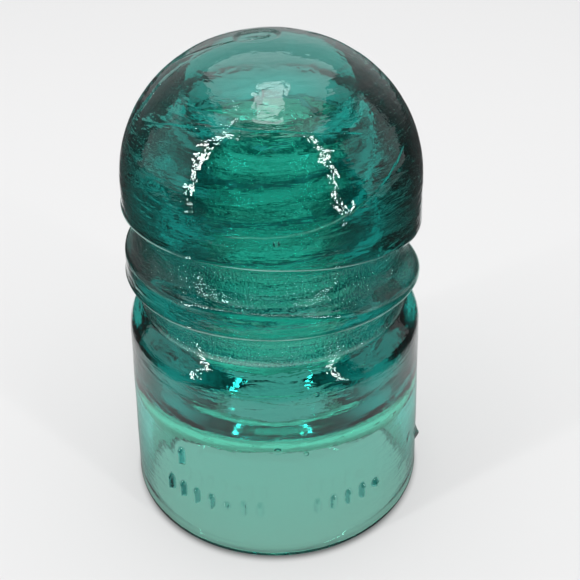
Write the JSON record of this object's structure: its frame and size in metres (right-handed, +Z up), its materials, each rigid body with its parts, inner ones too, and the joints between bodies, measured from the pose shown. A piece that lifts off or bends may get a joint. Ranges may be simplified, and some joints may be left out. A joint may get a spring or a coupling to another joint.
{
  "type": "glass insulator",
  "caption": "Pressed-glass pin-type line insulator with a rounded crown, a spiral wire groove, a single skirt and a threaded pin hole.",
  "frame": {"origin": "centre of the circle that the rim stands on", "axes": "+Z up along the axis of the pin hole, from the rim to the crown; -Y is the front, where the spiral groove starts to fall towards the right; +X is to the right"},
  "size_m": [0.0636, 0.0634, 0.096],
  "materials": {
    "teal_glass": "fire-polished pressed glass, thick and deeply tinted, with flow lines and a few bubbles"
  },
  "bodies": {
    "root": {"glass_body": "teal_glass"}
  },
  "joints": []
}
